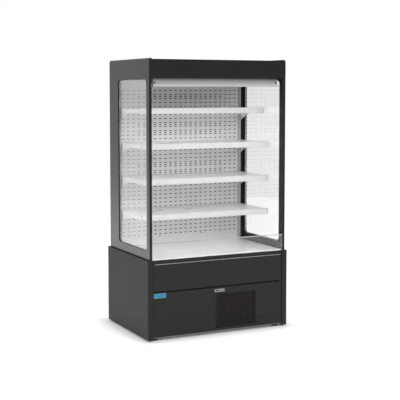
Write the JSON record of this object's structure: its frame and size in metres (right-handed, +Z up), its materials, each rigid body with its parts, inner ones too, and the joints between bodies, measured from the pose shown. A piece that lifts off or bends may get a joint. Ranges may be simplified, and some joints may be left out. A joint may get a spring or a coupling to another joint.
{
  "type": "open multideck display fridge",
  "caption": "Open-fronted chilled display cabinet with glazed ends, stepped shelves on slotted uprights, a night blind and its cooling machine in the base.",
  "frame": {"origin": "on the floor, under the middle of the cabinet's outer box", "axes": "+Z up, -Y towards the open front, +X to the right of someone facing the front"},
  "size_m": [1.138, 0.77, 2],
  "materials": {
    "charcoal_paint": "satin charcoal powder paint with a fine texture",
    "grey_paint": "satin mid-grey powder paint with a fine texture",
    "shelf_paint": "semi-gloss white to light grey powder paint",
    "black_steel": "semi-gloss black paint",
    "galvanised_steel": "galvanised sheet with a dull spangle",
    "bright_trim": "satin anodised aluminium",
    "coil_aluminium": "mill-finish fins on round tubes",
    "copper_pipe": "drawn copper, slightly dulled",
    "clear_glass": "clear polished glass",
    "seal_rubber": "matt black rubber",
    "rail_plastic": "smooth white extruded plastic",
    "black_plastic": "fine-grained black moulded plastic",
    "control_plastic": "light grey moulded plastic with a dark display",
    "blind_cloth": "grey coated woven cloth"
  },
  "bodies": {
    "cabinet": {"bumper_fascia": "charcoal_paint", "top_rail": "charcoal_paint", "canopy_fascia": "charcoal_paint", "base_side_left": "grey_paint", "base_side_right": "grey_paint", "end_frame_left": "grey_paint", "end_frame_right": "grey_paint", "shelf_brackets": "shelf_paint", "return_grille": "shelf_paint", "duct_panel": "shelf_paint", "canopy_liner": "shelf_paint", "rack_uprights": "black_steel", "duct_screws": "black_steel", "compressor": "black_steel", "chassis": "galvanised_steel", "insulated_well": "galvanised_steel", "rear_wall": "galvanised_steel", "base_back_grille": "galvanised_steel", "canopy_roof": "galvanised_steel", "evaporator_fan_frames": "galvanised_steel", "condenser_fan_shroud": "galvanised_steel", "bumper_trim": "bright_trim", "blind_cassette": "bright_trim", "evaporator_coil": "coil_aluminium", "condenser_coil": "coil_aluminium", "refrigerant_pipes": "copper_pipe", "end_glass": "clear_glass", "front_riser": "clear_glass", "glass_seals": "seal_rubber", "canopy_lamp": "rail_plastic", "air_honeycomb": "black_plastic", "cable_gland": "black_plastic", "drip_tray": "black_plastic", "blind_cloth": "blind_cloth"},
    "service_panel": {"service_panel": "charcoal_paint", "controller": "control_plastic", "switch_housings": "black_plastic"},
    "pull_bar": {"pull_bar": "bright_trim"},
    "blind_roller": {"blind_roller": "blind_cloth"},
    "evaporator_fan_left": {"evaporator_fan_left": "black_plastic"},
    "evaporator_fan_right": {"evaporator_fan_right": "black_plastic"},
    "condenser_fan": {"condenser_fan": "black_plastic"},
    "foot_front_left": {"foot_front_left": "black_plastic"},
    "foot_front_right": {"foot_front_right": "black_plastic"},
    "foot_back_left": {"foot_back_left": "black_plastic"},
    "foot_back_right": {"foot_back_right": "black_plastic"},
    "deck_tray": {"deck_tray": "shelf_paint"},
    "controller_key_1": {"controller_key_1": "control_plastic"},
    "controller_key_2": {"controller_key_2": "control_plastic"},
    "controller_key_3": {"controller_key_3": "control_plastic"},
    "rocker_1": {"rocker_1": "black_plastic"},
    "rocker_2": {"rocker_2": "black_plastic"},
    "shelf_1": {"shelf_1": "shelf_paint", "ticket_rail_1": "rail_plastic"},
    "shelf_2": {"shelf_2": "shelf_paint", "ticket_rail_2": "rail_plastic"},
    "shelf_3": {"shelf_3": "shelf_paint", "ticket_rail_3": "rail_plastic"},
    "shelf_4": {"shelf_4": "shelf_paint", "ticket_rail_4": "rail_plastic"}
  },
  "joints": [
    {"name": "service_panel_pull", "type": "slide", "parent": "cabinet", "child": "service_panel", "axis": [0, -1, 0], "range_m": [0, 0.25]},
    {"name": "blind_pull", "type": "slide", "parent": "cabinet", "child": "pull_bar", "axis": [0, 0, -1], "range_m": [0, 1.2], "stiffness_N_per_m": 15, "springref_m": -1, "deforming": ["blind_cloth"]},
    {"name": "blind_roller_spin", "type": "hinge", "parent": "cabinet", "child": "blind_roller", "pos_m": [0, -0.318, 1.843], "axis": [1, 0, 0], "range_deg": [0, 3932]},
    {"name": "evaporator_fan_left_spin", "type": "hinge", "parent": "cabinet", "child": "evaporator_fan_left", "pos_m": [-0.22, -0.164, 0.495], "axis": [0, 1, 0], "continuous": true},
    {"name": "evaporator_fan_right_spin", "type": "hinge", "parent": "cabinet", "child": "evaporator_fan_right", "pos_m": [0.22, -0.164, 0.495], "axis": [0, 1, 0], "continuous": true},
    {"name": "condenser_fan_spin", "type": "hinge", "parent": "cabinet", "child": "condenser_fan", "pos_m": [0.15, -0.259, 0.16], "axis": [0, 1, 0], "continuous": true},
    {"name": "foot_front_left_turn", "type": "hinge", "parent": "cabinet", "child": "foot_front_left", "pos_m": [-0.497, -0.33, 0.011], "axis": [0, 0, 1], "continuous": true},
    {"name": "foot_front_right_turn", "type": "hinge", "parent": "cabinet", "child": "foot_front_right", "pos_m": [0.497, -0.33, 0.011], "axis": [0, 0, 1], "continuous": true},
    {"name": "foot_back_left_turn", "type": "hinge", "parent": "cabinet", "child": "foot_back_left", "pos_m": [-0.497, 0.335, 0.011], "axis": [0, 0, 1], "continuous": true},
    {"name": "foot_back_right_turn", "type": "hinge", "parent": "cabinet", "child": "foot_back_right", "pos_m": [0.497, 0.335, 0.011], "axis": [0, 0, 1], "continuous": true},
    {"name": "key_1_press", "type": "slide", "parent": "service_panel", "child": "controller_key_1", "axis": [0, 1, 0], "range_m": [0, 0.0008], "stiffness_N_per_m": 400, "springref_m": -0.001},
    {"name": "key_2_press", "type": "slide", "parent": "service_panel", "child": "controller_key_2", "axis": [0, 1, 0], "range_m": [0, 0.0008], "stiffness_N_per_m": 400, "springref_m": -0.001},
    {"name": "key_3_press", "type": "slide", "parent": "service_panel", "child": "controller_key_3", "axis": [0, 1, 0], "range_m": [0, 0.0008], "stiffness_N_per_m": 400, "springref_m": -0.001},
    {"name": "rocker_1_tilt", "type": "hinge", "parent": "service_panel", "child": "rocker_1", "pos_m": [0.322, -0.377, 0.108], "axis": [-1, 0, 0], "range_deg": [0, 10]},
    {"name": "rocker_2_tilt", "type": "hinge", "parent": "service_panel", "child": "rocker_2", "pos_m": [0.362, -0.377, 0.108], "axis": [-1, 0, 0], "range_deg": [0, 10]},
    {"name": "shelf_1_lift", "type": "slide", "parent": "cabinet", "child": "shelf_1", "axis": [0, 0, 1], "range_m": [0, 0.03]},
    {"name": "shelf_2_lift", "type": "slide", "parent": "cabinet", "child": "shelf_2", "axis": [0, 0, 1], "range_m": [0, 0.03]},
    {"name": "shelf_3_lift", "type": "slide", "parent": "cabinet", "child": "shelf_3", "axis": [0, 0, 1], "range_m": [0, 0.03]},
    {"name": "shelf_4_lift", "type": "slide", "parent": "cabinet", "child": "shelf_4", "axis": [0, 0, 1], "range_m": [0, 0.03]},
    {"name": "deck_tray_lift", "type": "slide", "parent": "cabinet", "child": "deck_tray", "axis": [0, 0, 1], "range_m": [0, 0.15]}
  ],
  "couplings": [
    {"joint": "blind_roller_spin", "follows": "blind_pull", "rad_per_m": 57.143}
  ]
}
